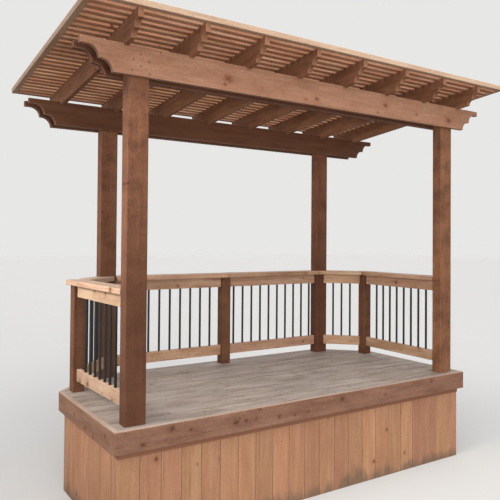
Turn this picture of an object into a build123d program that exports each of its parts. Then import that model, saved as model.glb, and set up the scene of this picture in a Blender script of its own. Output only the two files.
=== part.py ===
from build123d import *
import os
from math import atan2, ceil, cos, degrees, hypot, sin

# Garden pergola on a raised platform with railings, in millimetres.
# X runs along the front, Y runs to the back, Z is up.
# The origin lies on the ground under the middle of the roof.

# Sawn timber sections
board = 38
two_by_four = 89
two_by_six = 140
two_by_eight = 184

# Pergola posts, one row in front and a narrower row behind
post_width = 140
post_depth = 89
front_post_spacing = 2895
back_post_spacing = 2286
row_spacing = 1303

# Beams, a pair of boards on each row of posts
front_beam_clearance = 2133
back_beam_clearance = 2026
front_beam_overhang = 312.5
back_beam_overhang = 587
beam_nose = 40
beam_ledge = 44

# Rafters and the slats across them
rafter_count = 8
rafter_nose = 60
rafter_ledge = 20
scallop_step = 14
front_seat_depth = 10
back_seat_depth = 27
roof_front_overhang = 320
roof_back_overhang = 223
slat_count = 27
slat_rows_per_group = 9
slat_setback = 5
slat_overhang = 259
slat_reach = 20

# Platform
platform_height = 730
deck_side_margin = 87
deck_end_margin = 66
corner_clip = 386
deck_board_count = 10
joist_count = 8
leg_section = 89
leg_inset = 40
skirt_thickness = 19
skirt_board_width = 140
skirt_gap = 3
joint_gap = 1

# Railings
rail_post = 89
side_rail_post_inset = 123.5
side_rail_post_setback = 981
bottom_rail_clearance = 81
rail_height = 831
cap_run_on = 30
baluster_diameter = 19
baluster_seat = 15
side_baluster_count = 8
side_baluster_pitch = 90
corner_baluster_count = 3
corner_baluster_pitch = 85
back_left_baluster_count = 9
back_right_baluster_count = 10
back_baluster_pitch = 101

# Beams run past the posts, the slats end a little short of the front beam
front_beam_length = front_post_spacing + post_width + 2 * front_beam_overhang
back_beam_length = back_post_spacing + post_width + 2 * back_beam_overhang
slat_length = front_beam_length - 2 * slat_setback

# Roof slope, down to the back
roof_fall = front_beam_clearance - front_seat_depth - back_beam_clearance + back_seat_depth
slope = atan2(roof_fall, row_spacing)
roof_depth = roof_front_overhang + row_spacing + roof_back_overhang
roof_front = -roof_depth / 2

# Post rows and platform outline
front_row = roof_front + roof_front_overhang
back_row = front_row + row_spacing
front_post_x = front_post_spacing / 2
back_post_x = back_post_spacing / 2
deck_half_width = front_post_x + post_width / 2 + deck_side_margin
deck_front = front_row - post_depth / 2 - deck_end_margin
deck_back = back_row + post_depth / 2 + deck_end_margin
side_rail_post_x = deck_half_width - side_rail_post_inset
side_rail_post_y = front_row + side_rail_post_setback

# Heights above the ground
deck_top = platform_height
frame_top = deck_top - board
frame_bottom = frame_top - two_by_six
front_beam_bottom = deck_top + front_beam_clearance
front_beam_top = front_beam_bottom + two_by_eight
back_beam_bottom = deck_top + back_beam_clearance
back_beam_top = back_beam_bottom + two_by_eight
cap_top = deck_top + rail_height
sub_rail_top = cap_top - board
bottom_rail_bottom = deck_top + bottom_rail_clearance

# The underside of the rafters lies a seat's depth below the front top corners of both beam pairs
rafter_seat_y = front_row - post_depth / 2 - board
slat_start = (roof_front - rafter_seat_y - two_by_six * sin(slope)) / cos(slope)
slat_run = (roof_depth - board * sin(slope)) / cos(slope)
slat_pitch = (slat_run - board) / (slat_count - 1)
rafter_start = slat_start + slat_reach
rafter_length = slat_run - slat_reach
rafter_pitch = (slat_length - 2 * slat_overhang - board) / (rafter_count - 1)
roof_plane = Plane(
    origin=(0, rafter_seat_y, front_beam_top - front_seat_depth),
    x_dir=(0, cos(slope), -sin(slope)),
    z_dir=(1, 0, 0),
)


def block(x0, x1, y0, y1, z0, z1):
    size = (x1 - x0, y1 - y0, z1 - z0)
    middle = ((x0 + x1) / 2, (y0 + y1) / 2, (z0 + z1) / 2)
    return Pos(*middle) * Box(*size)


def post(x, y, width, depth, bottom, top):
    return block(x - width / 2, x + width / 2, y - depth / 2, y + depth / 2, bottom, top)


def along_run(start, end, solid):
    # Places a solid that is drawn along X about its middle on the run between two points
    turn = degrees(atan2(end[1] - start[1], end[0] - start[0]))
    middle = ((start[0] + end[0]) / 2, (start[1] + end[1]) / 2)
    return Pos(*middle) * Rot(0, 0, turn) * solid


def scalloped_board(length, depth, nose, ledge):
    # Side view of a board with two coves cut under each end, its top on the first axis
    radius = (depth - nose) / 2
    first_cusp = ledge + radius
    second_start = first_cusp + scallop_step
    outline = [Line((0, 0), (0, -nose)), Line((0, -nose), (ledge, -nose))]
    outline.append(CenterArc((ledge, -nose - radius), radius, 0, 90))
    outline.append(Line((first_cusp, -nose - radius), (second_start, -nose - radius)))
    outline.append(CenterArc((second_start, -depth), radius, 0, 90))
    outline.append(Line((second_start + radius, -depth), (length / 2, -depth)))
    outline.append(Line((length / 2, -depth), (length / 2, 0)))
    outline.append(Line((length / 2, 0), (0, 0)))
    half = make_face(Wire(outline))
    other_half = mirror(half, about=Plane.YZ.offset(length / 2))
    return half + other_half


def beam_board(length, top, front_face):
    side_view = scalloped_board(length, two_by_eight, beam_nose, beam_ledge)
    on_face = Plane(origin=(-length / 2, front_face, top), x_dir=(1, 0, 0), z_dir=(0, -1, 0))
    return extrude(on_face * side_view, -board)


def beam_seat(row, top, length):
    # Room of a beam pair and its post tops, below its flat top
    reach = post_depth / 2 + board
    return block(-length / 2, length / 2, row - reach, row + reach, top - two_by_eight, top)


def rafter(x):
    side_view = scalloped_board(rafter_length, two_by_six, rafter_nose, rafter_ledge)
    placed = roof_plane.offset(x - board / 2) * Pos(rafter_start, two_by_six) * side_view
    solid = extrude(placed, board)
    solid -= beam_seat(front_row, front_beam_top, front_beam_length)
    return solid - beam_seat(back_row, back_beam_top, back_beam_length)


def slat(index):
    along = slat_start + index * slat_pitch + board / 2
    section = Pos(along, two_by_six + board / 2) * Rectangle(board, board)
    return extrude(roof_plane.offset(-slat_length / 2) * section, slat_length)


def roof_trim(side):
    section = Pos(slat_start + slat_run / 2, two_by_six + board / 2) * Rectangle(slat_run, board)
    near_face = slat_length / 2 if side > 0 else -slat_length / 2 - board
    return extrude(roof_plane.offset(near_face) * section, board)


def platform_outline(inset):
    # Platform plan with its two back corners cut off, all edges moved in by the inset
    x = deck_half_width - inset
    front = deck_front + inset
    back = deck_back - inset
    diagonal = deck_half_width + deck_back - corner_clip - inset * 2**0.5
    corners = [(-x, front), (x, front), (x, diagonal - x), (diagonal - back, back)]
    corners += [(back - diagonal, back), (-x, diagonal - x)]
    return corners


def outline_slab(inset, bottom, top):
    face = make_face(Polyline(platform_outline(inset), close=True))
    return extrude(Pos(0, 0, bottom) * face, top - bottom)


def deck_boards():
    inside = outline_slab(board, frame_top, deck_top)
    front = deck_front + board
    depth = deck_back - board - front
    pitch = (depth - two_by_six) / (deck_board_count - 1)
    strips = []
    for index in range(deck_board_count):
        y = front + index * pitch
        strip = block(-deck_half_width, deck_half_width, y, y + two_by_six, frame_top, deck_top)
        strips.append(strip & inside)
    return strips


def platform_frame():
    rim = outline_slab(board, frame_bottom, frame_top)
    inside = outline_slab(2 * board, frame_bottom, frame_top)
    rim -= inside
    inner_width = 2 * (deck_half_width - 2 * board)
    bay = (inner_width - joist_count * board) / (joist_count + 1)
    for index in range(joist_count):
        x = -inner_width / 2 + bay + index * (bay + board)
        joist = block(x, x + board, deck_front, deck_back, frame_bottom, frame_top)
        rim += joist & inside
    return rim


def platform_legs():
    # Legs under the rim, their outer faces against the skirt boards
    edge = board + skirt_thickness + leg_section / 2
    side_x = deck_half_width - edge
    front_y = deck_front + edge
    back_y = deck_back - edge
    side_y = deck_back - corner_clip - leg_section / 2 - leg_inset
    back_x = deck_half_width - corner_clip - leg_section / 2 - leg_inset
    places = [(0, front_y), (0, back_y)]
    for side in (-1, 1):
        places += [(side * side_x, front_y), (side * side_x, side_y), (side * back_x, back_y)]
    return [post(x, y, leg_section, leg_section, 0, frame_bottom) for x, y in places]


def mitred_walls(inset, thickness, bottom, top):
    # The six walls of the platform, front first and then anticlockwise
    ring = outline_slab(inset, bottom, top) - outline_slab(inset + thickness, bottom, top)
    corners = platform_outline(inset)
    inner = platform_outline(inset + thickness)
    walls = []
    for index in range(len(corners)):
        following = (index + 1) % len(corners)
        plan = [corners[index], corners[following], inner[following], inner[index]]
        prism = make_face(Polyline(plan, close=True))
        walls.append(ring & extrude(Pos(0, 0, bottom) * prism, top - bottom))
    return walls


def shortened(wall, start, end):
    # Takes half the joint gap off both ends of a wall that runs from start to end
    length = hypot(end[0] - start[0], end[1] - start[1])
    keep = Box(length - joint_gap, length, 3 * platform_height)
    return wall & along_run(start, end, keep)


def fascia_boards():
    corners = platform_outline(0)
    walls = mitred_walls(0, board, deck_top - two_by_six, deck_top)
    result = []
    for index, wall in enumerate(walls):
        result.append(shortened(wall, corners[index], corners[(index + 1) % len(corners)]))
    return result


def skirt_boards():
    corners = platform_outline(board)
    walls = mitred_walls(board, skirt_thickness, 0, frame_bottom)
    result = []
    for index, wall in enumerate(walls):
        start = corners[index]
        end = corners[(index + 1) % len(corners)]
        length = hypot(end[0] - start[0], end[1] - start[1])
        count = round((length + skirt_gap) / (skirt_board_width + skirt_gap))
        pitch = (length + skirt_gap) / count
        strips = []
        for number in range(count):
            strip = block(0, pitch - skirt_gap, 0, skirt_thickness, 0, frame_bottom)
            turn = degrees(atan2(end[1] - start[1], end[0] - start[0]))
            strip = Pos(start[0], start[1]) * Rot(0, 0, turn) * Pos(number * pitch, 0) * strip
            strips.append(strip & wall)
        result.append(strips)
    return result


# Post centres that the railings run between
front_left = (-front_post_x, front_row)
front_right = (front_post_x, front_row)
side_left = (-side_rail_post_x, side_rail_post_y)
side_right = (side_rail_post_x, side_rail_post_y)
back_left = (-back_post_x, back_row)
back_right = (back_post_x, back_row)
back_middle = (0, back_row)


def tall_posts():
    return [
        post(*front_left, post_width, post_depth, deck_top, front_beam_top),
        post(*front_right, post_width, post_depth, deck_top, front_beam_top),
        post(*back_left, post_width, post_depth, deck_top, back_beam_top),
        post(*back_right, post_width, post_depth, deck_top, back_beam_top),
    ]


def short_posts():
    places = [side_left, back_middle, side_right]
    return [post(*place, rail_post, rail_post, deck_top, sub_rail_top) for place in places]


def run_bar(start, end, width, bottom, top):
    length = hypot(end[0] - start[0], end[1] - start[1])
    return along_run(start, end, block(-length / 2, length / 2, -width / 2, width / 2, bottom, top))


def clear_middle(start, end, rails):
    # Middle of the rails that the posts leave on a run, counted from the middle of the run
    middle = rails.center(CenterOf.MASS)
    turn = atan2(end[1] - start[1], end[0] - start[0])
    across = (middle.X - (start[0] + end[0]) / 2, middle.Y - (start[1] + end[1]) / 2)
    return across[0] * cos(turn) + across[1] * sin(turn)


def railing(start, end, count, pitch, posts):
    # Two rails on edge with round balusters seated in both
    bottom_top = bottom_rail_bottom + two_by_four
    sub_bottom = sub_rail_top - two_by_four
    panel = run_bar(start, end, board, bottom_rail_bottom, bottom_top)
    panel += run_bar(start, end, board, sub_bottom, sub_rail_top)
    for solid in posts:
        panel -= solid
    height = sub_bottom - bottom_top + 2 * baluster_seat
    centre_z = (sub_bottom + bottom_top) / 2
    shift = clear_middle(start, end, panel)
    for index in range(count):
        along = shift + (index - (count - 1) / 2) * pitch
        baluster = Pos(along, 0, centre_z) * Cylinder(baluster_diameter / 2, height)
        panel += along_run(start, end, baluster)
    return panel


def side_cap():
    # Left cap from the front post to a little past the rail post, which it covers
    past = side_rail_post_y + rail_post / 2 + cap_run_on
    slant = (side_left[0] - front_left[0]) / (side_left[1] - front_left[1])
    end = (side_left[0] + slant * (past - side_left[1]), past)
    bar = run_bar(front_left, end, two_by_six, sub_rail_top, cap_top)
    post_back = front_row + post_depth / 2
    return bar - block(-deck_half_width, 0, deck_front, post_back, sub_rail_top, cap_top)


def corner_cap(neighbour):
    # Left diagonal cap, from the side cap to the corner of the back post
    bar = run_bar(side_left, back_left, two_by_six, sub_rail_top, cap_top)
    post_left = -back_post_x - post_width / 2
    post_front = back_row - post_depth / 2
    bar -= block(post_left, 0, post_front, deck_back, sub_rail_top, cap_top)
    return bar - offset(neighbour, joint_gap, kind=Kind.INTERSECTION)


def back_cap():
    # Left half of the back cap, from the back post to the middle rail post
    inner_face = -back_post_x + post_width / 2
    half = two_by_six / 2
    return block(inner_face, -joint_gap / 2, back_row - half, back_row + half, sub_rail_top, cap_top)


def mirrored(solids):
    return [mirror(solid, about=Plane.YZ) for solid in solids]


def save(name, solids):
    group = Compound(label=name, children=solids) if isinstance(solids, list) else solids
    export_step(group, f"parts/{name}.step")


os.makedirs("parts", exist_ok=True)

main_posts = tall_posts()
rail_posts = short_posts()
all_posts = main_posts + rail_posts

post_names = ["post_front_left", "post_front_right", "post_back_left", "post_back_right"]
for name, solid in zip(post_names, main_posts):
    save(name, solid)
for name, solid in zip(["rail_post_left", "rail_post_back", "rail_post_right"], rail_posts):
    save(name, solid)

outer_shift = -post_depth / 2 - board
inner_shift = post_depth / 2
save("beam_front_outer", beam_board(front_beam_length, front_beam_top, front_row + outer_shift))
save("beam_front_inner", beam_board(front_beam_length, front_beam_top, front_row + inner_shift))
save("beam_back_inner", beam_board(back_beam_length, back_beam_top, back_row + outer_shift))
save("beam_back_outer", beam_board(back_beam_length, back_beam_top, back_row + inner_shift))

for index in range(rafter_count):
    save(f"rafter_{index + 1}", rafter((index - (rafter_count - 1) / 2) * rafter_pitch))

for group in range(ceil(slat_count / slat_rows_per_group)):
    first = group * slat_rows_per_group
    last = min(first + slat_rows_per_group, slat_count)
    save(f"slats_{group + 1}", [slat(index) for index in range(first, last)])
save("roof_trim_left", roof_trim(-1))
save("roof_trim_right", roof_trim(1))

save("deck_boards", deck_boards())
save("platform_frame", platform_frame())
save("platform_legs", platform_legs())

fascia = fascia_boards()
save("fascia_front", fascia[0])
save("fascia_right", fascia[1:3])
save("fascia_back", fascia[3])
save("fascia_left", fascia[4:6])

skirt = skirt_boards()
save("skirt_front", skirt[0])
save("skirt_right", skirt[1] + skirt[2])
save("skirt_back", skirt[3])
save("skirt_left", skirt[4] + skirt[5])

rail_runs = {
    "railing_left": (front_left, side_left, side_baluster_count, side_baluster_pitch),
    "railing_corner_left": (side_left, back_left, corner_baluster_count, corner_baluster_pitch),
    "railing_back_left": (back_left, back_middle, back_left_baluster_count, back_baluster_pitch),
    "railing_back_right": (back_middle, back_right, back_right_baluster_count, back_baluster_pitch),
    "railing_corner_right": (back_right, side_right, corner_baluster_count, corner_baluster_pitch),
    "railing_right": (side_right, front_right, side_baluster_count, side_baluster_pitch),
}
for name, run in rail_runs.items():
    save(name, railing(*run, all_posts))

left_cap = side_cap()
left_caps = [left_cap, corner_cap(left_cap)]
save("cap_left", left_caps)
save("cap_right", mirrored(left_caps))
save("cap_back", [back_cap()] + mirrored([back_cap()]))
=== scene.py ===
import math
import bpy
import numpy as np
from mathutils import Euler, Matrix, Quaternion, Vector


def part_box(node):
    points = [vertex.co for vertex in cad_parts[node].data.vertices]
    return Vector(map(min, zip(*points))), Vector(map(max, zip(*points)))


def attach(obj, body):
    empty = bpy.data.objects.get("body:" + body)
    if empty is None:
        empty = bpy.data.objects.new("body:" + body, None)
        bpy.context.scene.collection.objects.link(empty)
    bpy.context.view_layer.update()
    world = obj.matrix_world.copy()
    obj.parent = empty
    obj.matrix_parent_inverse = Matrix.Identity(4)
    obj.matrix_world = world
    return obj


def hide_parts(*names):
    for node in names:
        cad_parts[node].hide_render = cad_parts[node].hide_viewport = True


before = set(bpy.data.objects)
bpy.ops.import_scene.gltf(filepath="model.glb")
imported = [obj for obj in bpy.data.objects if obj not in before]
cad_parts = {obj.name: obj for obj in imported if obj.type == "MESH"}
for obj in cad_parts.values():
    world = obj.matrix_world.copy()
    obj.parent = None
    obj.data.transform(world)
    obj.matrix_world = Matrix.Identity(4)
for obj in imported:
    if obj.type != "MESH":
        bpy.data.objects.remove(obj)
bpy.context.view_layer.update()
chance = np.random.default_rng(31)      # one fixed seed, so that each run is the same
right = np.array([1.0, 0.0, 0.0])
back = np.array([0.0, 1.0, 0.0])
up = np.array([0.0, 0.0, 1.0])

# sawn sizes in metres, the same for every board
lumber = {"thin": 0.038, "four": 0.089, "six": 0.140, "edge": 0.0045, "fineEdge": 0.003, "edgeSteps": 4}


def cornersOf(node):
    low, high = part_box(node)
    return np.array(low), np.array(high)


# shapes
outlineSpec = {"cornerSteps": 4, "sharpest": 0.3}       # the least 1 + cosine that a mitre is worked out for


def rectangle(x0, x1, y0, y1):
    # four corners, anticlockwise from the lowest
    return np.array([(x0, y0), (x1, y0), (x1, y1), (x0, y1)], float)


def softened(outline, radius):
    # each corner becomes a parabola between the two points that lie one radius away from it on its sides
    before = np.roll(outline, 1, axis=0) - outline
    after = np.roll(outline, -1, axis=0) - outline
    start = outline + radius * before / np.linalg.norm(before, axis=1, keepdims=True)
    end = outline + radius * after / np.linalg.norm(after, axis=1, keepdims=True)
    t = np.linspace(0, 1, outlineSpec["cornerSteps"])[None, :, None]
    curve = (1 - t) ** 2 * start[:, None] + 2 * t * (1 - t) * outline[:, None] + t**2 * end[:, None]
    return curve.reshape(-1, 2)


def shrunk(outline, inset):
    # every side of an anticlockwise outline moves inwards by the inset, its corners along the mitre
    side = np.roll(outline, -1, axis=0) - outline
    side /= np.linalg.norm(side, axis=1, keepdims=True)
    outward = np.stack([side[:, 1], -side[:, 0]], axis=1)
    before = np.roll(outward, 1, axis=0)
    spread = np.maximum(1 + (outward * before).sum(1, keepdims=True), outlineSpec["sharpest"])
    return outline - inset * (outward + before) / spread


def stackOfRings(rings, roundedRim):
    # closed surface through rings of equal length, each ring anticlockwise about the way they are stacked
    count, size = rings.shape[:2]
    here = np.arange(count * size).reshape(count, size)
    nextPoint = np.roll(here, -1, axis=1)
    quads = np.stack([here[:-1], nextPoint[:-1], nextPoint[1:], here[1:]], axis=-1).reshape(-1, 4)
    loops = np.concatenate([quads.ravel(), here[0, ::-1], here[-1]])
    sizes = np.concatenate([np.full(len(quads), 4), [size, size]])
    return {"points": rings.reshape(-1, 3), "loops": loops, "sizes": sizes, "roundedRim": np.repeat(roundedRim, size)}


def slab(outline, thickness, edge=lumber["edge"], mitre=(0.0, 0.0)):
    # the outline carried through the thickness, its rim rounded: inset = edge (1 - sin a),
    # depth = edge (1 - cos a) for a from 0 to a quarter turn at both faces; a mitre slants an end,
    # so that x moves by its share of the depth
    angle = np.linspace(0, math.pi / 2, lumber["edgeSteps"])
    inset = edge * (1 - np.sin(angle))
    depth = edge * (1 - np.cos(angle)) - thickness / 2
    insets = np.concatenate([inset, inset[::-1]])
    depths = np.concatenate([depth, -depth[::-1]])
    roundedRim = np.concatenate([np.sin(2 * angle), np.sin(2 * angle[::-1])])
    flat = np.stack([shrunk(outline, amount) for amount in insets])
    rings = np.concatenate([flat, np.broadcast_to(depths[:, None, None], flat.shape[:2] + (1,))], axis=2)
    middle = (outline[:, 0].min() + outline[:, 0].max()) / 2
    slant = np.where(rings[..., 0] < middle, mitre[0], mitre[1])
    rings[..., 0] += slant * rings[..., 2]
    return stackOfRings(rings, roundedRim)


def lathe(radii, heights, sides):
    # closed turned form: each height has a circle of its radius
    turn = np.linspace(0, 2 * math.pi, sides, endpoint=False)
    circle = np.stack([np.cos(turn), np.sin(turn)], axis=1)
    rings = np.array(radii)[:, None, None] * circle[None]
    tall = np.broadcast_to(np.array(heights)[:, None, None], rings.shape[:2] + (1,))
    return stackOfRings(np.concatenate([rings, tall], axis=2), np.zeros(len(radii)))


# where in a log a board is cut: the length to choose from, then the most sideways and the least and most deep
logSpec = {"length": 40.0, "board": (0.05, 0.03, 0.09), "post": (0.02, 0.0, 0.04)}


def placed(solid, origin, axes, grainAxes=(0, 1, 2), pith=logSpec["board"]):
    # local point (a, b, c) goes to origin + a A + b B + c C; the grain keeps the local point,
    # shifted so that each board is cut from its own place in a log
    axes = np.array(axes, float)
    local = solid["points"]
    if np.ndim(grainAxes) == 1:
        grain = local[:, list(grainAxes)]
        along = axes[grainAxes[0]]
    else:
        grain = local @ np.array(grainAxes, float).T
        along = np.array(grainAxes[0], float) @ axes
    sideways = chance.uniform(-pith[0], pith[0])
    deep = chance.uniform(pith[1], pith[2]) * chance.choice([-1, 1])
    shift = np.array([chance.uniform(0, logSpec["length"]), sideways, deep])
    result = dict(solid)
    result["points"] = np.array(origin, float) + local @ axes
    result["grain"] = grain - np.array([0, grain[:, 1].mean(), grain[:, 2].mean()]) + shift
    result["tone"] = np.full(len(local), chance.uniform(0, 1))
    result["along"] = np.tile(along, (len(solid["sizes"]), 1))
    return result


def newObject(name, data):
    thing = bpy.data.objects.new(name, data)
    bpy.context.scene.collection.objects.link(thing)
    return thing


# the steepest smooth edge in degrees, and how squarely a face crosses the grain where it is a cut end
meshSpec = {"smoothAngle": 50, "screwSmoothAngle": 35, "cutFacing": 0.6}


def meshPiece(name, solids, material, nodes=(), smoothAngle=meshSpec["smoothAngle"]):
    # joins the solids into one mesh with its grain, tone, rounded rim and cut end attributes
    offsets = np.cumsum([0] + [len(s["points"]) for s in solids[:-1]])
    points = np.concatenate([s["points"] for s in solids])
    loops = np.concatenate([s["loops"] + offset for s, offset in zip(solids, offsets)])
    sizes = np.concatenate([s["sizes"] for s in solids])
    starts = np.concatenate([[0], np.cumsum(sizes)[:-1]])
    mesh = bpy.data.meshes.new(name)
    mesh.vertices.add(len(points))
    mesh.vertices.foreach_set("co", points.astype(np.float32).ravel())
    mesh.loops.add(len(loops))
    mesh.loops.foreach_set("vertex_index", loops.astype(np.int32))
    mesh.polygons.add(len(sizes))
    mesh.polygons.foreach_set("loop_start", starts.astype(np.int32))
    mesh.polygons.foreach_set("use_smooth", np.ones(len(sizes), bool))
    mesh.update(calc_edges=True)
    mesh.set_sharp_from_angle(angle=math.radians(smoothAngle))
    if "grain" in solids[0]:
        grain = np.concatenate([s["grain"] for s in solids])
        mesh.attributes.new("grain", "FLOAT_VECTOR", "POINT").data.foreach_set("vector", grain.ravel())
        for key in ("tone", "roundedRim"):
            values = np.concatenate([s[key] for s in solids])
            mesh.attributes.new(key, "FLOAT", "POINT").data.foreach_set("value", values)
        normals = np.zeros(len(sizes) * 3)
        mesh.polygons.foreach_get("normal", normals)
        along = np.concatenate([s["along"] for s in solids])
        facing = np.abs((normals.reshape(-1, 3) * along).sum(axis=1))
        cut = (facing > meshSpec["cutFacing"]).astype(float)
        mesh.attributes.new("endCut", "FLOAT", "FACE").data.foreach_set("value", cut)
    mesh.materials.append(material)
    piece = newObject(name, mesh)
    smooth = piece.modifiers.new("faceNormals", "WEIGHTED_NORMAL")
    smooth.keep_sharp = True
    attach(piece, "root")
    if nodes:
        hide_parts(*nodes)
    return piece


# materials
def addNode(tree, kind, inputs=None, **settings):
    # a node with its settings; an input is linked when it is given a socket
    node = tree.nodes.new(kind)
    for key, value in settings.items():
        setattr(node, key, value)
    for key, value in (inputs or {}).items():
        if isinstance(value, bpy.types.NodeSocket):
            tree.links.new(value, node.inputs[key])
        else:
            node.inputs[key].default_value = value
    return node


def calc(tree, operation, first, second=0.0):
    return addNode(tree, "ShaderNodeMath", {0: first, 1: second}, operation=operation).outputs[0]


def remap(tree, value, low, high, newLow=0.0, newHigh=1.0):
    # the value's span from low to high goes to the new span, and stays inside it
    inputs = {"Value": value, "From Min": low, "From Max": high, "To Min": newLow, "To Max": newHigh}
    return addNode(tree, "ShaderNodeMapRange", inputs).outputs["Result"]


def blendColors(tree, amount, first, second):
    return addNode(tree, "ShaderNodeMix", {0: amount, 6: first, 7: second}, data_type="RGBA").outputs[2]


def glaze(tree, color, mask, strength, tint):
    # the tint over the colour where the mask is, as strong as the strength
    return blendColors(tree, calc(tree, "MULTIPLY", mask, strength), color, tint)


def noiseAt(tree, vector, stretch, detail, roughness=0.55, shift=(0, 0, 0)):
    # noise of the vector times the stretch plus the shift
    scaled = addNode(tree, "ShaderNodeVectorMath", {0: vector, 1: stretch, 2: shift}, operation="MULTIPLY_ADD")
    inputs = {"Vector": scaled.outputs[0], "Scale": 1.0, "Detail": detail, "Roughness": roughness}
    return addNode(tree, "ShaderNodeTexNoise", inputs)


def layer(tree, vector, noise, span=None):
    # noise from 0 to 1; a span (low, high, new low, new high) spreads it
    value = noiseAt(tree, vector, *noise).outputs["Fac"]
    return remap(tree, value, *span) if span else value


def attributeOf(tree, name, output="Fac"):
    return addNode(tree, "ShaderNodeAttribute", attribute_name=name).outputs[output]


def objectPlace(tree):
    return addNode(tree, "ShaderNodeTexCoord").outputs["Object"]


def partsOf(tree, vector):
    return addNode(tree, "ShaderNodeSeparateXYZ", {0: vector}).outputs


def newTree(name):
    material = bpy.data.materials.new(name)
    material.use_nodes = True
    material.node_tree.nodes.clear()
    return material, material.node_tree


def shade(tree, color, roughness, height, finish):
    # the surface shader with its bump, and what is the same all over on its own sockets
    bump = addNode(tree, "ShaderNodeBump", {"Height": height, "Distance": finish["relief"], "Strength": 1.0})
    inputs = {"Base Color": color, "Roughness": roughness, "Normal": bump.outputs["Normal"]}
    shader = addNode(tree, "ShaderNodeBsdfPrincipled", dict(inputs, **finish["sockets"]))
    addNode(tree, "ShaderNodeOutputMaterial", {"Surface": shader.outputs[0]})


def linear(red, green, blue):
    # a colour as a screen shows it, 0 to 255, to the shader's linear scale with a gamma of 2.2
    return tuple((np.array([red, green, blue]) / 255) ** 2.2) + (1.0,)


# distance from a knot's middle in its radii: where core, knot, halo and the bent rings end and begin
knotSpec = {
    "ragged": (0.2, 0.8, -0.45, 0.45), "core": (0.7, 0.3), "knot": (1.2, 0.6), "halo": (3.0, 0.9),
    "swirl": (5.0, 0.5, 0.0, 0.022), "squeeze": 0.77, "farOff": 99.0, "toneShift": 61.0, "leastRadius": 0.0001,
}


def nearestKnot(tree, place, knots):
    # least of |(0.77 (x - x0), z - z0)| / radius over the knots: below 1 inside a knot
    nearest = knotSpec["farOff"]
    for x, z, radius in knots:
        scale = (knotSpec["squeeze"] / radius, 0.0, 1 / radius)
        shift = (-x * scale[0], 0.0, -z * scale[2])
        offset = addNode(tree, "ShaderNodeVectorMath", {0: place, 1: scale, 2: shift}, operation="MULTIPLY_ADD")
        reach = addNode(tree, "ShaderNodeVectorMath", {0: offset.outputs[0]}, operation="LENGTH").outputs["Value"]
        nearest = calc(tree, "MINIMUM", reach, nearest)
    return nearest


def scatteredKnot(tree, along, across, tone, finish):
    # cells on the face of the board, some of them with a knot at their point: distance / radius
    density = finish["knotDensity"]
    toneShift = calc(tree, "MULTIPLY", tone, knotSpec["toneShift"])
    shifted = calc(tree, "ADD", calc(tree, "MULTIPLY", across, density), toneShift)
    cell = addNode(tree, "ShaderNodeCombineXYZ", {0: calc(tree, "MULTIPLY", along, density), 1: shifted})
    inputs = {"Vector": cell.outputs[0], "Scale": 1.0}
    cells = addNode(tree, "ShaderNodeTexVoronoi", inputs, voronoi_dimensions="2D")
    cellColor = addNode(tree, "ShaderNodeSeparateColor", {0: cells.outputs["Color"]})
    size = remap(tree, cellColor.outputs[0], finish["knotRare"], 1.0, 0.0, finish["knotSize"])
    reach = calc(tree, "DIVIDE", cells.outputs["Distance"], density)
    return calc(tree, "DIVIDE", reach, calc(tree, "MAXIMUM", size, knotSpec["leastRadius"]))


# noise on the grain: stretch along, across and through, detail, roughness and shift, then the span
grainNoise = {
    "ragged": [((60, 90, 90), 2.0)],
    "wander": [((1.1, 0.0, 0.0), 2.0, 0.5, (0, 3.3, 7.1))],
    "wobble": [((5, 45, 45), 3.0), (0, 1, -0.004, 0.004)],
    "streak": [((1.4, 36, 36), 4.0, 0.62), (0.32, 0.7)],
    "pale": [((2.1, 16, 16), 4.0, 0.65, (4, 7, 2)), (0.48, 0.7)],
    "fibre": [((9, 420, 420), 2.0, 0.7)],
    "saw": [((300, 14, 14), 2.0, 0.5)],
    "speckle": [((85, 150, 150), 2.0, 0.75, (1, 5, 3))],
    "crack": [((1.7, 85, 85), 2.0, 0.5, (3, 8, 1)), (0.68, 0.73)],
}
# noise in space: dust on top faces, and how high the splashes reach
spaceNoise = {
    "patches": [((2.2, 5.0, 2.2), 4.0, 0.62), (0.3, 0.7, 0.5, 1.0)],
    "lift": [((9, 9, 3), 3.0), (0.3, 0.7, 0.02, 0.16)],
}
# amounts that all woods share
woodSpec = {
    "blotchSpan": (0.42, 0.66), "sideDrift": (0, 1, -0.05, 0.05), "deepDrift": (0, 1, -0.03, 0.03),
    "ringSharpness": 2.2, "hueTurns": 17.3, "gritSpan": (0.3, 0.7),
    "haloDepth": 0.4, "knotDepth": 0.6, "coreDepth": 0.6, "crackDepth": 0.8, "fibreSpan": (0.3, 0.75),
    # the foot's painted shade starts at the first height and is full at the second
    "footShadeHeights": (2.7, 1.5), "rimTintSpan": (0.35, 0.7, 0.1), "facingUp": (0.6, 0.95), "splashFade": 0.08,
    "bump": {"ring": 0.35, "fibre": 0.5, "saw": 0.6, "crack": -1.6, "knot": 0.5},
}


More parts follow.
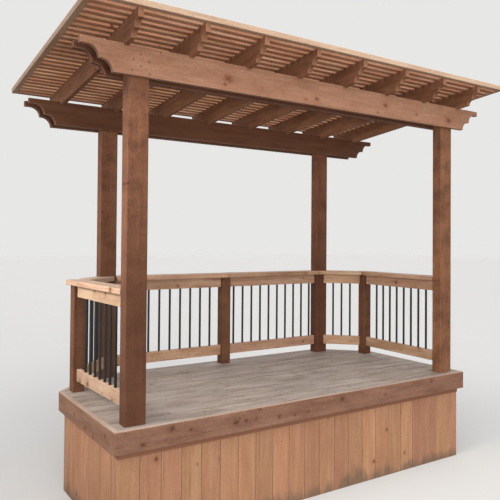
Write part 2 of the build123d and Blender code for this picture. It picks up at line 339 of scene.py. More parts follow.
def woodMaterial(name, finish):
    # stained timber whose grain follows each board's own attributes
    material, tree = newTree(name)
    finish = dict(finish, **{key: linear(*finish[key]) for key in stainColors})
    grain = attributeOf(tree, "grain", "Vector")
    tone, roundedRim, endCut = (attributeOf(tree, key) for key in ("tone", "roundedRim", "endCut"))
    place = objectPlace(tree)
    along, across, through = partsOf(tree, grain)

    # knots: a dark core, a ragged brown rim and a halo
    ragged = layer(tree, grain, *grainNoise["ragged"])
    if finish["knots"]:
        ratio = nearestKnot(tree, place, finish["knots"])
    else:
        ratio = scatteredKnot(tree, along, across, tone, finish)
    ratio = calc(tree, "ADD", ratio, remap(tree, ragged, *knotSpec["ragged"]))
    knot, core, halo, swirl = (remap(tree, ratio, *knotSpec[key]) for key in ("knot", "core", "halo", "swirl"))

    # rings about a pith that wanders along the board, bent round the knots
    wander = noiseAt(tree, grain, *grainNoise["wander"][0])
    drift = addNode(tree, "ShaderNodeSeparateColor", {0: wander.outputs["Color"]}).outputs
    side = calc(tree, "ADD", across, remap(tree, drift[0], *woodSpec["sideDrift"]))
    deep = calc(tree, "ADD", through, remap(tree, drift[1], *woodSpec["deepDrift"]))
    flat = addNode(tree, "ShaderNodeCombineXYZ", {0: side, 1: deep})
    radial = addNode(tree, "ShaderNodeVectorMath", {0: flat.outputs[0]}, operation="LENGTH").outputs["Value"]
    wobble = layer(tree, grain, *grainNoise["wobble"])
    bent = calc(tree, "ADD", calc(tree, "ADD", radial, wobble), swirl)
    phase = calc(tree, "MULTIPLY", bent, finish["ringsPerMetre"])
    ring = calc(tree, "POWER", calc(tree, "FRACT", phase), woodSpec["ringSharpness"])

    # streaks, dark and pale blotches of stain, fibres, saw marks across the board and checks along it
    blotch = layer(tree, grain, finish["blotchNoise"], woodSpec["blotchSpan"])
    streak, pale, fibre, saw, speckle, crack = (
        layer(tree, grain, *grainNoise[key]) for key in ("streak", "pale", "fibre", "saw", "speckle", "crack")
    )
    crack = calc(tree, "MULTIPLY", crack, finish["cracks"])
    color = finish["light"]
    for mask, key, tint in (
        (streak, "streak", "dark"), (ring, "ring", "ringColor"),
        (blotch, "blotch", "blotchColor"), (pale, "pale", "paleColor"),
    ):
        color = glaze(tree, color, mask, finish[key], finish[tint])

    # each board has its own tone and hue, where 0.5 is no change, and grit
    value = remap(tree, tone, 0, 1, 1 - finish["toneSpread"], 1 + finish["toneSpread"])
    grit = remap(tree, speckle, *woodSpec["gritSpan"], 1 - finish["speckle"], 1 + finish["speckle"])
    hueNoise = calc(tree, "FRACT", calc(tree, "MULTIPLY", tone, woodSpec["hueTurns"]))
    hue = remap(tree, hueNoise, 0, 1, 0.5 - finish["hueSpread"], 0.5 + finish["hueSpread"])
    inputs = {"Hue": hue, "Value": calc(tree, "MULTIPLY", value, grit), "Color": color}
    color = addNode(tree, "ShaderNodeHueSaturation", inputs).outputs["Color"]
    for mask, depth, tint in (
        (halo, "haloDepth", "haloColor"), (knot, "knotDepth", "knotColor"),
        (core, "coreDepth", "coreColor"), (crack, "crackDepth", "coreColor"),
    ):
        color = glaze(tree, color, mask, woodSpec[depth], finish[tint])
    fine = remap(tree, fibre, *woodSpec["fibreSpan"], 0.0, finish["fibre"])
    color = blendColors(tree, fine, color, finish["ringColor"])

    # painted shade that darkens and reddens towards the foot; tinted rounded rims, cut ends, dust on top, splashes
    # low down
    heightOf = partsOf(tree, place)[2]
    footShadeAmount = remap(tree, heightOf, *woodSpec["footShadeHeights"], 0.0, finish["footShade"])
    color = blendColors(tree, footShadeAmount, color, finish["footShadeColor"])
    # the rims are rubbed paler, which is wear and also a painted highlight along the rounded edges; on the deck
    # they darken instead, as dirt along the joints
    color = glaze(tree, color, roundedRim, remap(tree, ragged, *woodSpec["rimTintSpan"], finish["rimTint"]), finish["rimTintColor"])
    color = glaze(tree, color, endCut, finish["endDark"], finish["endColor"])
    facing = addNode(tree, "ShaderNodeNewGeometry").outputs["Normal"]
    upward = remap(tree, partsOf(tree, facing)[2], *woodSpec["facingUp"])
    dusty = calc(tree, "MULTIPLY", upward, layer(tree, place, *spaceNoise["patches"]))
    color = glaze(tree, color, dusty, finish["weather"], finish["weatherColor"])
    below = calc(tree, "SUBTRACT", layer(tree, place, *spaceNoise["lift"]), heightOf)
    splash = remap(tree, calc(tree, "DIVIDE", below, woodSpec["splashFade"]), 0.0, 1.0, 0.0, finish["splash"])
    color = blendColors(tree, splash, color, finish["splashColor"])

    roughness = remap(tree, streak, 0, 1, *finish["rough"])
    height = 0.0
    for key, mask in (("ring", ring), ("fibre", fibre), ("saw", saw), ("crack", crack), ("knot", knot)):
        height = calc(tree, "ADD", height, calc(tree, "MULTIPLY", mask, woodSpec["bump"][key]))
    shade(tree, color, roughness, height, finish)
    return material


# the usual finish, its colours as a screen shows them; each wood then changes what differs
stainColors = {
    "light": (180, 135, 114), "dark": (160, 115, 95), "ringColor": (138, 92, 70), "blotchColor": (144, 98, 76),
    "paleColor": (188, 144, 120), "haloColor": (126, 80, 58), "knotColor": (96, 56, 40), "coreColor": (52, 30, 22),
    # the rub colour: paler worn edges that are also a painted highlight
    "rimTintColor": (206, 166, 138), "endColor": (140, 98, 72), "weatherColor": (160, 140, 126),
    # the foot colour is painted shade low down the posts
    "splashColor": (104, 88, 74), "footShadeColor": (66, 37, 20),
}
stain = dict(
    stainColors, streak=0.6, ring=0.22, blotch=0.4, pale=0.35, fibre=0.18, speckle=0.14, cracks=0.5,
    blotchNoise=((3.4, 9, 9), 4.0, 0.65, (9, 2, 5)), ringsPerMetre=150.0, toneSpread=0.07, hueSpread=0.006,
    knots=[], knotDensity=3.4, knotRare=0.45, knotSize=0.016, rimTint=0.45, endDark=0.5, weather=0.25, splash=0.0,
    footShade=0.0, rough=(0.64, 0.8), relief=0.0008, sockets={"Specular IOR Level": 0.3},
)
# the posts have the strongest painted shade towards the foot
postFinish = dict(
    stain, light=(132, 88, 65), dark=(112, 71, 51), ringColor=(94, 57, 40),
    blotchColor=(72, 40, 27), paleColor=(156, 110, 84), rimTintColor=(164, 118, 88),
    blotch=0.65, streak=0.35, ringsPerMetre=120.0, speckle=0.32, footShade=0.8,
    blotchNoise=((7, 5, 5), 4.0, 0.65, (9, 2, 5)), knotDensity=5.2, knotRare=0.35,
)
fasciaFinish = dict(
    stain, light=(128, 96, 78), dark=(112, 81, 64), ringColor=(97, 68, 52),
    blotchColor=(90, 61, 46), paleColor=(146, 114, 94), weatherColor=(158, 144, 133),
    blotch=0.55, pale=0.5, cracks=0.4, streak=0.4, weather=1.0, speckle=0.2,
    knotDensity=5.2, knotRare=0.2, knotSize=0.024,
)
railingFinish = dict(
    stain, light=(168, 136, 111), dark=(136, 104, 82), blotchColor=(112, 78, 58),
    paleColor=(190, 162, 138), toneSpread=0.1, weather=0.4, blotch=0.5, pale=0.6, speckle=0.2,
    knotDensity=5.4, knotRare=0.3, knotSize=0.024,
)
# knots that show plainly, by x, z and radius in metres
frontBeamKnots = [
    (-0.822, 2.944, 0.032), (-0.848, 2.904, 0.013), (-0.163, 2.896, 0.008), (-0.057, 2.912, 0.019),
    (0.571, 2.890, 0.008), (0.655, 2.955, 0.019), (1.022, 2.928, 0.010), (1.431, 2.924, 0.028),
]
frontFasciaKnots = [
    (-1.424, 0.630, 0.018), (-1.232, 0.695, 0.024), (-1.096, 0.669, 0.013), (-0.759, 0.659, 0.024),
    (-0.734, 0.682, 0.010), (-0.679, 0.659, 0.015), (-0.596, 0.663, 0.009), (-0.568, 0.718, 0.010),
    (-0.403, 0.646, 0.013), (-0.266, 0.635, 0.009), (-0.147, 0.641, 0.008), (0.183, 0.687, 0.022),
    (0.640, 0.655, 0.009), (1.180, 0.700, 0.012),
]
finishes = {
    "postWood": postFinish,
    # less painted shade at the foot of the right front post and the rail posts
    "rightPostWood": dict(postFinish, footShade=0.2),
    "railPostWood": dict(postFinish, footShade=0.65),
    "frontBeamWood": dict(
        stain, light=(168, 123, 101), dark=(149, 106, 86), ringColor=(130, 87, 67),
        blotchColor=(128, 84, 63), paleColor=(182, 140, 117), knotColor=(124, 76, 56),
        coreColor=(92, 54, 38), haloColor=(146, 98, 76), cracks=0.25, pale=0.6, blotch=0.5,
        speckle=0.18, knots=frontBeamKnots,
    ),
    # the inner front beam and the back beams: the front beam's stain darkened as painted shade
    "paintedShadeBeamWood": dict(
        stain, light=(103, 68, 48), dark=(84, 53, 37), ringColor=(72, 44, 30),
        blotchColor=(78, 48, 34), paleColor=(122, 84, 63),
    ),
    "rafterWood": dict(
        stain, light=(160, 114, 87), dark=(128, 87, 63), ringColor=(104, 68, 48),
        blotchColor=(104, 68, 49), paleColor=(174, 131, 103), toneSpread=0.12, blotch=0.6,
        speckle=0.2, hueSpread=0.003,
    ),
    "slatWood": dict(
        stain, light=(198, 148, 114), dark=(162, 112, 82), blotchColor=(138, 92, 66),
        paleColor=(208, 172, 146), toneSpread=0.16, hueSpread=0.007, knotDensity=4.0, knotSize=0.010,
        weather=0.5, blotch=0.6, pale=0.7,
    ),
    "trimWood": dict(
        stain, light=(202, 174, 150), dark=(182, 152, 128), blotchColor=(162, 130, 106),
        paleColor=(214, 190, 166), toneSpread=0.05, knotDensity=4.0, knotSize=0.008, weather=0.5,
    ),
    "deckWood": dict(
        stain, light=(140, 127, 118), dark=(122, 108, 99), ringColor=(104, 89, 78),
        blotchColor=(98, 80, 68), paleColor=(166, 154, 144), haloColor=(116, 94, 78),
        # on the deck the rub colour is dark, as dirt along the board joints
        knotColor=(84, 62, 50), rimTintColor=(98, 82, 70), endColor=(128, 108, 92),
        weatherColor=(164, 154, 148), rimTint=0.25, streak=0.4, weather=0.3, ring=0.4,
        cracks=1.2, speckle=0.26, pale=0.8, blotch=0.9, knotDensity=5.4, knotRare=0.3, knotSize=0.021,
    ),
    "fasciaWood": fasciaFinish,
    "frontFasciaWood": dict(
        fasciaFinish, knotColor=(92, 58, 42), coreColor=(58, 36, 27), haloColor=(108, 74, 57),
        knots=frontFasciaKnots,
    ),
    "skirtWood": dict(
        stain, light=(172, 130, 100), dark=(144, 102, 75), toneSpread=0.12, splash=0.75, cracks=0.8,
    ),
    "railingWood": railingFinish,
    # the left railing and caps: the railing wood paler and less saturated, as painted sunlight
    "paintedSunRailWood": dict(
        railingFinish, light=(178, 154, 132), dark=(146, 120, 99), blotchColor=(120, 90, 70),
        paleColor=(196, 175, 153), toneSpread=0.08,
    ),
    "frameWood": dict(stain, light=(140, 100, 74), dark=(110, 74, 54)),
}
woods = {name: woodMaterial(name, finish) for name, finish in finishes.items()}

tubeFinish = {
    "black": linear(16, 16, 16), "dustColor": linear(66, 60, 54), "dust": 0.25, "rough": (0.42, 0.65),
    "dustNoise": [((14, 14, 5), 4.0, 0.6), (0.45, 0.75)],
    "peelNoise": [((900, 900, 900), 2.0)], "relief": 0.0002,
    "sockets": {"Specular IOR Level": 0.3},
}
screwFinish = {
    "coat": linear(62, 54, 48), "rustColor": linear(92, 58, 40), "rough": (0.4, 0.75),
    "rustNoise": [((160, 160, 160), 3.0), (0.45, 0.65)], "relief": 0.0003,
    "sockets": {"Metallic": 0.6},
}


def tubeMaterial():
    # black powder coat: fine orange peel, a little dust that settles in patches
    material, tree = newTree("balusterBlack")
    place = objectPlace(tree)
    dust = layer(tree, place, *tubeFinish["dustNoise"])
    color = glaze(tree, tubeFinish["black"], dust, tubeFinish["dust"], tubeFinish["dustColor"])
    roughness = remap(tree, dust, 0, 1, *tubeFinish["rough"])
    peel = layer(tree, place, *tubeFinish["peelNoise"])
    shade(tree, color, roughness, peel, tubeFinish)
    return material


def screwMaterial():
    # dark coated steel, browned in patches
    material, tree = newTree("screwSteel")
    rust = layer(tree, objectPlace(tree), *screwFinish["rustNoise"])
    color = blendColors(tree, rust, screwFinish["coat"], screwFinish["rustColor"])
    roughness = remap(tree, rust, 0, 1, *screwFinish["rough"])
    shade(tree, color, roughness, rust, screwFinish)
    return material


tubeBlack = tubeMaterial()
screwSteel = screwMaterial()
print("materials done")

# posts
postSpec = {"corner": 0.007, "endEdge": 0.002}


def uprightPost(node, name, material):
    # the plan's rectangle with softened corners, carried from the foot to the top
    low, high = cornersOf(node)
    half = (high - low) / 2
    outline = softened(rectangle(-half[0], half[0], -half[1], half[1]), postSpec["corner"])
    solid = slab(outline, high[2] - low[2], postSpec["endEdge"])
    solid = placed(solid, (low + high) / 2, (right, back, up), grainAxes=(2, 0, 1), pith=logSpec["post"])
    return meshPiece(name, [solid], material, [node])


for row in ("front", "back"):
    for side in ("left", "right"):
        node = f"post_{row}_{side}"
        wood = "rightPostWood" if node == "post_front_right" else "postWood"
        uprightPost(node, row + side.capitalize() + "Post", woods[wood])
for spot in ("left", "back", "right"):
    uprightPost("rail_post_" + spot, spot + "RailPost", woods["railPostWood"])
print("posts done")

# beams and rafters
scallop = {
    "beamNose": 0.040, "beamLedge": 0.044, "rafterNose": 0.060, "rafterLedge": 0.020, "step": 0.014, "points": 10,
}


def scallopedEnd(depth, nose, ledge):
    # from the nose's top down and inwards: nose, ledge, quarter cove, step, quarter cove;
    # a cove of radius r about (x, z) is (x + r sin a, z + r cos a) for a from 0 to a quarter turn
    radius = (depth - nose) / 2
    angle = np.linspace(0, math.pi / 2, scallop["points"])
    cove = radius * np.stack([np.sin(angle), np.cos(angle)], axis=1)
    first = cove + (ledge, -nose - radius)
    second = cove + (ledge + radius + scallop["step"], -depth)
    return np.concatenate([[(0, 0), (0, -nose)], first, second])


def beamBoard(node, name, material):
    # a scalloped end, and its mirror image at the other end: x goes to length - x
    low, high = cornersOf(node)
    length = high[0] - low[0]
    end = scallopedEnd(high[2] - low[2], scallop["beamNose"], scallop["beamLedge"])
    outline = np.concatenate([end, end[::-1] * (-1, 1) + (length, 0)])
    origin = (low[0], (low[1] + high[1]) / 2, high[2])
    solid = placed(slab(outline, high[1] - low[1]), origin, (right, up, -back))
    return meshPiece(name, [solid], material, [node])


beamBoard("beam_front_outer", "frontOuterBeam", woods["frontBeamWood"])
# the inner and back boards take the darker copy, which is painted shade
beamBoard("beam_front_inner", "frontInnerBeam", woods["paintedShadeBeamWood"])
beamBoard("beam_back_inner", "backInnerBeam", woods["paintedShadeBeamWood"])
beamBoard("beam_back_outer", "backOuterBeam", woods["paintedShadeBeamWood"])

# the rafters' underside lies a seat's depth below the front top corners of both beam pairs,
# and the slats start a short reach in front of the rafters
rafterSpec = {"count": 8, "frontSeat": 0.010, "backSeat": 0.027, "slatReach": 0.020}
frontLow, frontHigh = cornersOf("beam_front_outer")
backLow, backHigh = cornersOf("beam_back_inner")
frontInnerHigh = cornersOf("beam_front_inner")[1]
backOuterHigh = cornersOf("beam_back_outer")[1]
roofFall = frontHigh[2] - rafterSpec["frontSeat"] - backHigh[2] + rafterSpec["backSeat"]
slope = math.atan2(roofFall, backLow[1] - frontLow[1])
downhill = np.array([0, math.cos(slope), -math.sin(slope)])
outOfRoof = np.array([0, math.sin(slope), math.cos(slope)])
seat = np.array([0, frontLow[1], frontHigh[2] - rafterSpec["frontSeat"]])
roofLow, roofHigh = cornersOf("roof_trim_left")
roofRun = (roofHigh[1] - roofLow[1] - lumber["thin"] * math.sin(slope)) / math.cos(slope)
slatStart = (roofLow[1] - seat[1] - lumber["six"] * math.sin(slope)) / math.cos(slope)


def roofPoint(along, height, x=0.0):
    # a point of the tilted roof: seat + along D + height H + x
    return seat + along * downhill + height * outOfRoof + np.array([x, 0, 0])


def rafterOutline(start, length):
    # side view in the tilted frame (along, height), with flat seats cut over both beam pairs
    end = scallopedEnd(lumber["six"], scallop["rafterNose"], scallop["rafterLedge"])
    seats = []
    for front, rear, top in (
        (frontLow[1], frontInnerHigh[1], frontHigh[2]),
        (backLow[1], backOuterHigh[1], backHigh[2]),
    ):
        corners = np.array([(0, front, top), (0, rear, top)]) - seat
        flat = np.stack([corners @ downhill, corners @ outOfRoof], axis=1)
        feet = np.stack([flat[:, 0] + flat[:, 1] * math.tan(slope), (0, 0)], axis=1)
        seats += [feet[0], flat[0], flat[1], feet[1]]
    near = end + (start, lumber["six"])
    far = end[::-1] * (-1, 1) + (start + length, lumber["six"])
    return np.concatenate([near, seats, far])


rafterSide = rafterOutline(slatStart + rafterSpec["slatReach"], roofRun - rafterSpec["slatReach"])
for number in range(1, rafterSpec["count"] + 1):
    low, high = cornersOf(f"rafter_{number}")
    solid = slab(rafterSide, high[0] - low[0])
    solid = placed(solid, roofPoint(0, 0, (low[0] + high[0]) / 2), (downhill, outOfRoof, right))
    meshPiece(f"rafter{number}", [solid], woods["rafterWood"], [f"rafter_{number}"])
print("beams and rafters done")

# roof slats; each lies a little off its place, apart from the first and the last
slatSpec = {"count": 27, "perNode": 9, "slide": 0.0008}
slatPitch = (roofRun - lumber["thin"]) / (slatSpec["count"] - 1)
slatLow, slatHigh = cornersOf("slats_1")
slatLength = slatHigh[0] - slatLow[0]


def roofSlat(index):
    # a square stick across the roof, one pitch behind the last
    outline = rectangle(-slatLength / 2, slatLength / 2, -lumber["thin"] / 2, lumber["thin"] / 2)
    solid = slab(outline, lumber["thin"], lumber["fineEdge"])
    along = slatStart + index * slatPitch + lumber["thin"] / 2
    if 0 < index < slatSpec["count"] - 1:
        along += chance.uniform(-slatSpec["slide"], slatSpec["slide"])
    return placed(solid, roofPoint(along, lumber["six"] + lumber["thin"] / 2), (right, downhill, outOfRoof))


for group in range(slatSpec["count"] // slatSpec["perNode"]):
    first = group * slatSpec["perNode"]
    slats = [roofSlat(index) for index in range(first, first + slatSpec["perNode"])]
    if group == 0:                      # the first slat is the roof's front edge
        meshPiece("frontTrimSlat", slats[:1], woods["trimWood"], ["slats_1"])
        slats = slats[1:]
    meshPiece(f"slats{group + 1}", slats, woods["slatWood"], [f"slats_{group + 1}"])
for side in ("left", "right"):
    node = "roof_trim_" + side
    low, high = cornersOf(node)
    solid = slab(rectangle(0, roofRun, 0, lumber["thin"]), high[0] - low[0], lumber["fineEdge"])
    start = roofPoint(slatStart, lumber["six"], (low[0] + high[0]) / 2)
    solid = placed(solid, start, (downhill, outOfRoof, right))
    meshPiece(side + "RoofTrim", [solid], woods["trimWood"], [node])
print("roof done")

# platform
platformSpec = {
    "deckBoards": 10, "joists": 8, "fasciaGap": 0.0005, "skirtBoard": 0.140, "skirtGap": 0.003,
    "skirtThick": 0.019, "cornerTrim": 0.45, "skirtSlide": 0.0012,
}
walls = ["front", "right", "right", "back", "left", "left"]      # the six sides of the plan, anticlockwise
deckLow, deckHigh = cornersOf("deck_boards")
edgeLow = np.array([cornersOf("fascia_left")[0][0], cornersOf("fascia_front")[0][1]])
edgeHigh = np.array([cornersOf("fascia_right")[1][0], cornersOf("fascia_back")[1][1]])
clipX = cornersOf("fascia_back")[1][0]                # right end of the straight back edge
diagonal = clipX + edgeHigh[1]                        # x + y along the outer right corner edge


def platformOutline(inset):
    # plan with two cut back corners, all edges moved in by the inset, front left first, anticlockwise
    x = edgeHigh[0] - inset
    front = edgeLow[1] + inset
    rear = edgeHigh[1] - inset
    slant = diagonal - inset * math.sqrt(2)
    corners = [(-x, front), (x, front), (x, slant - x)]
    corners += [(slant - rear, rear), (rear - slant, rear), (-x, slant - x)]
    return np.array(corners)


def clippedBoard(y0, y1, outline):
    # the strip between y0 and y1 inside the platform's outline: at a height y it reaches to
    # the lesser of the half width and the slanted edge
    half = outline[1, 0]
    slant = outline[3, 0] + outline[3, 1]
    rise = slant - half
    heights = [y0] + ([rise] if y0 < rise < y1 else []) + [y1]
    rightSide = [(min(half, slant - y), y) for y in heights]
    leftSide = [(-x, y) for x, y in rightSide[::-1]]
    return np.array(rightSide + leftSide)


inner = platformOutline(lumber["thin"])
deckMiddle = (deckLow[2] + deckHigh[2]) / 2
deckPitch = (deckHigh[1] - deckLow[1] - lumber["six"]) / (platformSpec["deckBoards"] - 1)
boardStarts = [deckLow[1] + index * deckPitch for index in range(platformSpec["deckBoards"])]
boards = []
for y0 in boardStarts:
    board = slab(clippedBoard(y0, y0 + lumber["six"], inner), lumber["thin"], lumber["fineEdge"])
    boards.append(placed(board, (0, 0, deckMiddle), (right, back, up)))
meshPiece("deckFloor", boards, woods["deckWood"], ["deck_boards"])


def wallRuns(inset):
    # start, end and name of the six walls, front first
    corners = platformOutline(inset)
    return list(zip(corners, np.roll(corners, -1, axis=0), walls))


def wallFrame(start, end):
    # a wall's length, the way it runs, and the way it faces
    along = np.append(end - start, 0.0)
    length = np.linalg.norm(along)
    along /= length
    return length, along, np.cross(along, up)


def halfTurn(runs, index):
    # how far a wall's end moves per unit of depth: the tangent of half the turn at each of its corners
    slants = []
    for this, other in ((runs[index - 1], runs[index]), (runs[index], runs[(index + 1) % len(runs)])):
        first = this[1] - this[0]
        second = other[1] - other[0]
        turn = math.atan2(first[0] * second[1] - first[1] * second[0], first @ second)
        slants.append(math.tan(turn / 2))
    return slants


# each fascia's ends reach the outer corner on the outer face and draw in towards the inner one
fasciaBottom, fasciaTop = (corner[2] for corner in cornersOf("fascia_front"))
runs = wallRuns(0.0)
thick, gap = lumber["thin"], platformSpec["fasciaGap"]
fascia = {wall: [] for wall in walls}
for index, (start, end, wall) in enumerate(runs):
    length, along, outward = wallFrame(start, end)
    slants = halfTurn(runs, index)
    outline = rectangle(gap + slants[0] * thick / 2, length - gap - slants[1] * thick / 2, fasciaBottom, fasciaTop)
    solid = slab(outline, thick, mitre=(-slants[0], slants[1]))
    origin = np.append(start, 0.0) - outward * thick / 2
    fascia[wall].append(placed(solid, origin, (along, up, outward)))
for wall, solids in fascia.items():
    wood = woods["frontFasciaWood" if wall == "front" else "fasciaWood"]
    meshPiece(wall + "Fascia", solids, wood, ["fascia_" + wall])

# skirt boards side by side, those at a corner a little narrower
skirtTop = cornersOf("skirt_front")[1][2]
thick, gap = platformSpec["skirtThick"], platformSpec["skirtGap"]
trim = thick * platformSpec["cornerTrim"]
skirts = {wall: [] for wall in walls}
for start, end, wall in wallRuns(lumber["thin"]):
    length, along, outward = wallFrame(start, end)
    count = round((length + gap) / (platformSpec["skirtBoard"] + gap))
    pitch = (length + gap) / count
    for number in range(count):
        x0 = number * pitch + (trim if number == 0 else 0.0)
        x1 = (number + 1) * pitch - gap - (trim if number == count - 1 else 0.0)
        solid = slab(rectangle(x0, x1, 0.0, skirtTop), thick, lumber["fineEdge"])
        origin = np.append(start, 0.0) - outward * (thick / 2 + chance.uniform(0, platformSpec["skirtSlide"]))
        skirts[wall].append(placed(solid, origin, (along, up, outward), grainAxes=(1, 0, 2)))
for wall, solids in skirts.items():
    meshPiece(wall + "Skirt", solids, woods["skirtWood"], ["skirt_" + wall])

# rim, joists and legs keep their solids and only get their finish
for node in ("platform_frame", "platform_legs"):
    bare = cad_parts[node]
    bare.data.materials.clear()
    bare.data.materials.append(woods["frameWood"])
print("platform done")

# railings; rails that meet a post at a slant reach a little into it
railSpec = {
    "tube": 0.0095, "sides": 20, "embed": 0.012, "seat": 0.015, "capEdge": 0.006, "capPast": 0.030,
    "capGap": 0.001, "squareRun": 0.9999, "nearZero": 1e-9,
}
# each run's node, the posts it runs between, its balusters and their pitch
railRuns = {
    "left": ("railing_left", "post_front_left", "rail_post_left", 8, 0.090),
    "cornerLeft": ("railing_corner_left", "rail_post_left", "post_back_left", 3, 0.085),
    "backLeft": ("railing_back_left", "post_back_left", "rail_post_back", 9, 0.101),
    "backRight": ("railing_back_right", "rail_post_back", "post_back_right", 10, 0.101),
    "cornerRight": ("railing_corner_right", "post_back_right", "rail_post_right", 3, 0.085),
    "right": ("railing_right", "rail_post_right", "post_front_right", 8, 0.090),
}
railLow, railHigh = cornersOf("railing_back_left")
capLow, capHigh = cornersOf("cap_back")
capMiddle = (capLow[2] + capHigh[2]) / 2
capThick = capHigh[2] - capLow[2]


def postPlan(node):
    # the middle and the half size of a post's plan
    low, high = cornersOf(node)
    return (low + high)[:2] / 2, (high - low)[:2] / 2


def exitOf(half, direction):
    # how far a line from a post's middle runs before it leaves the post
    return min(half / np.maximum(np.abs(direction), railSpec["nearZero"]))


def railing(startNode, endNode, balusters, pitch):
    # two rails from post to post, and balusters at an even pitch about the middle of the clear run
    startPost, endPost = postPlan(startNode), postPlan(endNode)
    way = endPost[0] - startPost[0]
    length = np.linalg.norm(way)
    way /= length
    begin = exitOf(startPost[1], way)
    finish = length - exitOf(endPost[1], way)
    embed = 0.0 if max(abs(way)) > railSpec["squareRun"] else railSpec["embed"]
    along = np.append(way, 0.0)
    origin = np.append(startPost[0], 0.0)
    subBottom = railHigh[2] - lumber["four"]
    rails = []
    for bottom in (railLow[2], subBottom):
        outline = rectangle(begin - embed, finish + embed, bottom, bottom + lumber["four"])
        rails.append(placed(slab(outline, lumber["thin"]), origin, (along, up, np.cross(along, up))))
    places = (begin + finish) / 2 + (np.arange(balusters) - (balusters - 1) / 2) * pitch
    low = railLow[2] + lumber["four"] - railSpec["seat"]
    tubes = []
    for place in places:
        tube = lathe([railSpec["tube"]] * 2, [low, subBottom + railSpec["seat"]], railSpec["sides"])
        tubes.append(placed(tube, origin + place * along, (right, back, up)))
    return rails, tubes


for name, (node, *run) in railRuns.items():
    rails, tubes = railing(*run)
    # the left run takes the paler copy, painted sunlight
    wood = woods["paintedSunRailWood" if name == "left" else "railingWood"]
    meshPiece(name + "Rails", rails, wood, [node])
    meshPiece(name + "Balusters", tubes, tubeBlack, [node])


def lineHit(point, way, axis, value):
    # where a line crosses x = value (axis 0) or y = value (axis 1)
    return point + way * (value - point[axis]) / way[axis]


def sideCaps(side, name):
    # cap boards of one side as plan outlines: the side cap and the slanted corner cap
    mainPost, railPost, backPost = (postPlan(node + name) for node in ("post_front_", "rail_post_", "post_back_"))
    half = lumber["six"] / 2
    way = railPost[0] - mainPost[0]
    way /= np.linalg.norm(way)
    normal = np.array([way[1], -way[0]])
    faceY = mainPost[0][1] + mainPost[1][1]
    tip = lineHit(mainPost[0], way, 1, railPost[0][1] + railPost[1][1] + railSpec["capPast"])
    rightEdge = [lineHit(mainPost[0] + normal * half, way, 1, faceY), tip + normal * half]
    leftEdge = [tip - normal * half, lineHit(mainPost[0] - normal * half, way, 1, faceY)]

    # the corner cap starts at the side cap's inner edge and ends round the back post's corner
    slantWay = backPost[0] - railPost[0]
    slantWay /= np.linalg.norm(slantWay)
    slantNormal = np.array([slantWay[1], -slantWay[0]])
    innerPoint = mainPost[0] - side * normal * (half + railSpec["capGap"])

    def onSideCap(point):
        # crossing of the line through the point along slantWay with the side cap's inner edge
        steps = ((innerPoint - point) @ normal) / (slantWay @ normal)
        return point + slantWay * steps

    postX = backPost[0][0] + side * backPost[1][0]
    postY = backPost[0][1] - backPost[1][1]
    inside = railPost[0] - side * slantNormal * half
    outside = railPost[0] + side * slantNormal * half
    corner = [onSideCap(outside), onSideCap(inside), lineHit(inside, slantWay, 1, postY)]
    corner += [np.array([postX, postY]), lineHit(outside, slantWay, 0, postX)]
    return (np.array(rightEdge + leftEdge), way), (np.array(corner[::-side]), slantWay)


def capSolid(outline, way):
    # a flat board with its grain along the given way
    grainAxes = [(way[0], way[1], 0), (-way[1], way[0], 0), (0, 0, 1)]
    solid = slab(outline, capThick, railSpec["capEdge"])
    return placed(solid, (0, 0, capMiddle), (right, back, up), grainAxes=grainAxes)


# the left caps take the paler copy, painted sunlight
for side, name, wood in ((-1, "left", "paintedSunRailWood"), (1, "right", "railingWood")):
    caps = [capSolid(outline, way) for outline, way in sideCaps(side, name)]
    meshPiece(name + "Caps", caps, woods[wood], ["cap_" + name])
caps = []
for x0, x1 in ((capLow[0], -railSpec["capGap"] / 2), (railSpec["capGap"] / 2, capHigh[0])):
    caps.append(capSolid(rectangle(x0, x1, capLow[1], capHigh[1]), (1.0, 0.0)))
meshPiece("backCaps", caps, woods["railingWood"], ["cap_back"])
print("railings done")

# screws: a head's profile, the places across a board, and those over a front post
screwSpec = {
    "radius": 0.0055, "proud": 0.0006, "sunk": 0.004, "dish": 0.001, "sides": 10,
    "shares": (1, 1, 0.8, 0.4, 0.3), "across": (0.2, 0.8), "slide": 0.004, "cornerMargin": 0.08,
    "beamPattern": [
        (-0.004, 0.132), (-0.052, 0.096), (0.050, 0.096), (-0.003, 0.061), (-0.062, 0.030), (0.056, 0.022),
        (0.129, 0.165),
    ],
}


def screws(name, places, outward):
    # shallow domed heads with a small dished middle, one at each place, facing the given way
    sideways = np.cross(outward, right)
    sideways /= np.linalg.norm(sideways)
    axes = np.array([sideways, np.cross(outward, sideways), outward])
    proud = screwSpec["proud"]
    radii = [screwSpec["radius"] * share for share in screwSpec["shares"]]
    head = lathe(radii, [-screwSpec["sunk"], 0.0, proud, proud, -screwSpec["dish"]], screwSpec["sides"])
    solids = []
    for place in places:
        solid = dict(head)
        solid["points"] = np.array(place) + head["points"] @ axes
        solids.append(solid)
    return meshPiece(name, solids, screwSteel, smoothAngle=meshSpec["screwSmoothAngle"])


joistInner = edgeHigh[0] - 2 * lumber["thin"]
bay = (2 * joistInner - platformSpec["joists"] * lumber["thin"]) / (platformSpec["joists"] + 1)
joists = range(platformSpec["joists"])
joistX = [-joistInner + bay + i * (bay + lumber["thin"]) + lumber["thin"] / 2 for i in joists]
slide = screwSpec["slide"]
deckScrews = []
for y0 in boardStarts:
    for x in joistX:
        for share in screwSpec["across"]:
            y = y0 + share * lumber["six"] + chance.uniform(-slide, slide)
            if abs(x) + y < diagonal - screwSpec["cornerMargin"]:
                deckScrews.append((x + chance.uniform(-slide, slide), y, deckHigh[2]))
screws("deckScrews", deckScrews, up)

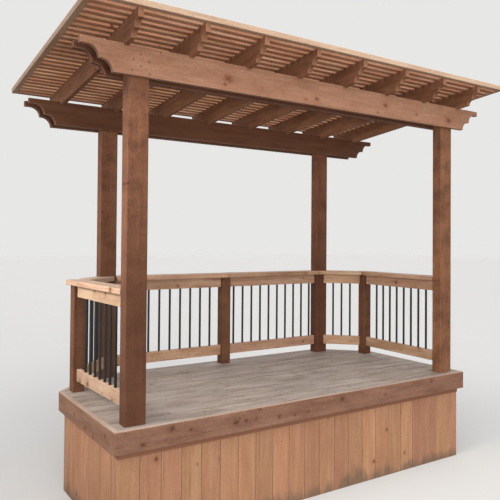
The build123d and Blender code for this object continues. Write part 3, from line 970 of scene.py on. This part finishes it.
beamScrews = []
for side, node in ((-1, "post_front_left"), (1, "post_front_right")):
    for dx, dz in screwSpec["beamPattern"]:
        beamScrews.append((postPlan(node)[0][0] - side * dx, frontLow[1], frontLow[2] + dz))
screws("beamScrews", beamScrews, -back)
print("screws done")

# floor and world: pale where the camera or gloss sees them, darker to the light that bounces about
stageSpec = {
    "floor": 60.0, "floorColor": linear(189, 189, 189), "bounceColor": linear(70, 63, 56), "floorRough": 0.5,
    "backColor": (0.80, 0.80, 0.79, 1.0), "ambientColor": (0.93, 0.96, 1.0, 1.0), "ambient": 0.42,
}


def seenRays(tree):
    # 1 for a camera or glossy ray, else 0
    rays = addNode(tree, "ShaderNodeLightPath").outputs
    return calc(tree, "MAXIMUM", rays["Is Camera Ray"], rays["Is Glossy Ray"])


def floorPiece():
    # one flat square at height 0
    size = stageSpec["floor"]
    mesh = bpy.data.meshes.new("floor")
    mesh.from_pydata([(-size, -size, 0), (size, -size, 0), (size, size, 0), (-size, size, 0)], [], [(0, 1, 2, 3)])
    floor = newObject("floor", mesh)
    material, tree = newTree("paleFloor")
    color = blendColors(tree, seenRays(tree), stageSpec["bounceColor"], stageSpec["floorColor"])
    shader = addNode(tree, "ShaderNodeBsdfDiffuse", {"Color": color, "Roughness": stageSpec["floorRough"]})
    addNode(tree, "ShaderNodeOutputMaterial", {"Surface": shader.outputs[0]})
    mesh.materials.append(material)


def studioWorld():
    # a pale background that is seen, and a dimmer one that lights
    world = bpy.data.worlds.new("studio")
    bpy.context.scene.world = world
    world.use_nodes = True
    tree = world.node_tree
    tree.nodes.clear()
    inputs = {"Color": stageSpec["ambientColor"], "Strength": stageSpec["ambient"]}
    ambient = addNode(tree, "ShaderNodeBackground", inputs)
    shown = addNode(tree, "ShaderNodeBackground", {"Color": stageSpec["backColor"], "Strength": 1.0})
    mixed = addNode(tree, "ShaderNodeMixShader", {0: seenRays(tree), 1: ambient.outputs[0], 2: shown.outputs[0]})
    addNode(tree, "ShaderNodeOutputWorld", {"Surface": mixed.outputs[0]})


floorPiece()
studioWorld()

# soft daylight from overhead, the front, the left and the right of the back, a low box in front that
# reaches up under the roof, and a warm one at the left that shines down below the roof
sunSpec = {
    "overhead": {"aim": (0.04, 0.40, -1.0), "strength": 2.75, "color": (1.0, 0.98, 0.95), "angle": 80},
    "front": {"aim": (0.08, 0.98, -0.12), "strength": 0.75, "color": (1.0, 0.97, 0.94), "angle": 40},
    "left": {"aim": (0.97, 0.05, -0.20), "strength": 1.3, "color": (1.0, 0.96, 0.89), "angle": 80},
    "rear": {"aim": (-0.50, -0.84, -0.15), "strength": 0.9, "color": (1.0, 0.98, 0.95), "angle": 60},
}
boxSpec = {
    "lowBox": {"place": (-2.0, -8.0, 0.9), "aim": (0.10, 0.97, 0.22), "size": (9.0, 1.5), "watts": 150.0,
               "color": (1.0, 0.96, 0.90), "spread": 110},
    "leftBox": {"place": (-3.4, -0.3, 2.3), "aim": (0.95, 0.02, -0.34), "size": (2.6, 0.8), "watts": 24.0,
                "color": (1.0, 0.95, 0.87), "spread": 76},
}


def lamp(name, kind, energy, color, aim, **settings):
    # a lamp whose light travels along the aim
    data = bpy.data.lights.new(name, kind)
    data.energy = energy
    data.color = color
    for key, value in settings.items():
        setattr(data, key, value)
    holder = newObject(name, data)
    holder.rotation_mode = "QUATERNION"
    holder.rotation_quaternion = Vector(aim).to_track_quat("-Z", "Y")
    return holder


for name, spec in sunSpec.items():
    lamp(name, "SUN", spec["strength"], spec["color"], spec["aim"], angle=math.radians(spec["angle"]))
for name, spec in boxSpec.items():
    width, height = spec["size"]
    box = lamp(
        name, "AREA", spec["watts"], spec["color"], spec["aim"], shape="RECTANGLE", size=width, size_y=height,
        spread=math.radians(spec["spread"]),
    )
    box.location = spec["place"]
    box.visible_camera = False
print("lamps done")

# the camera; its place in metres, its turns in degrees, its lens and sensor in millimetres
cameraSpec = {
    "place": (-2.9145, -4.0834, 1.8676), "yaw": -33.0915, "pitch": 0.9224, "roll": 0.4427,
    "lens": 43.235, "sensor": 36.0, "shift": (0.01427, -0.03886),
}
cameraData = bpy.data.cameras.new("camera")
cameraData.sensor_width = cameraSpec["sensor"]
cameraData.lens = cameraSpec["lens"]
cameraData.shift_x, cameraData.shift_y = cameraSpec["shift"]
camera = newObject("camera", cameraData)
camera.location = cameraSpec["place"]
camera.rotation_mode = "QUATERNION"
aim = Euler((math.radians(90 + cameraSpec["pitch"]), 0.0, math.radians(cameraSpec["yaw"]))).to_quaternion()
camera.rotation_quaternion = aim @ Quaternion((0, 0, 1), math.radians(cameraSpec["roll"]))
bpy.context.scene.camera = camera
bpy.context.scene.view_settings.view_transform = "Standard"

print("scene done")
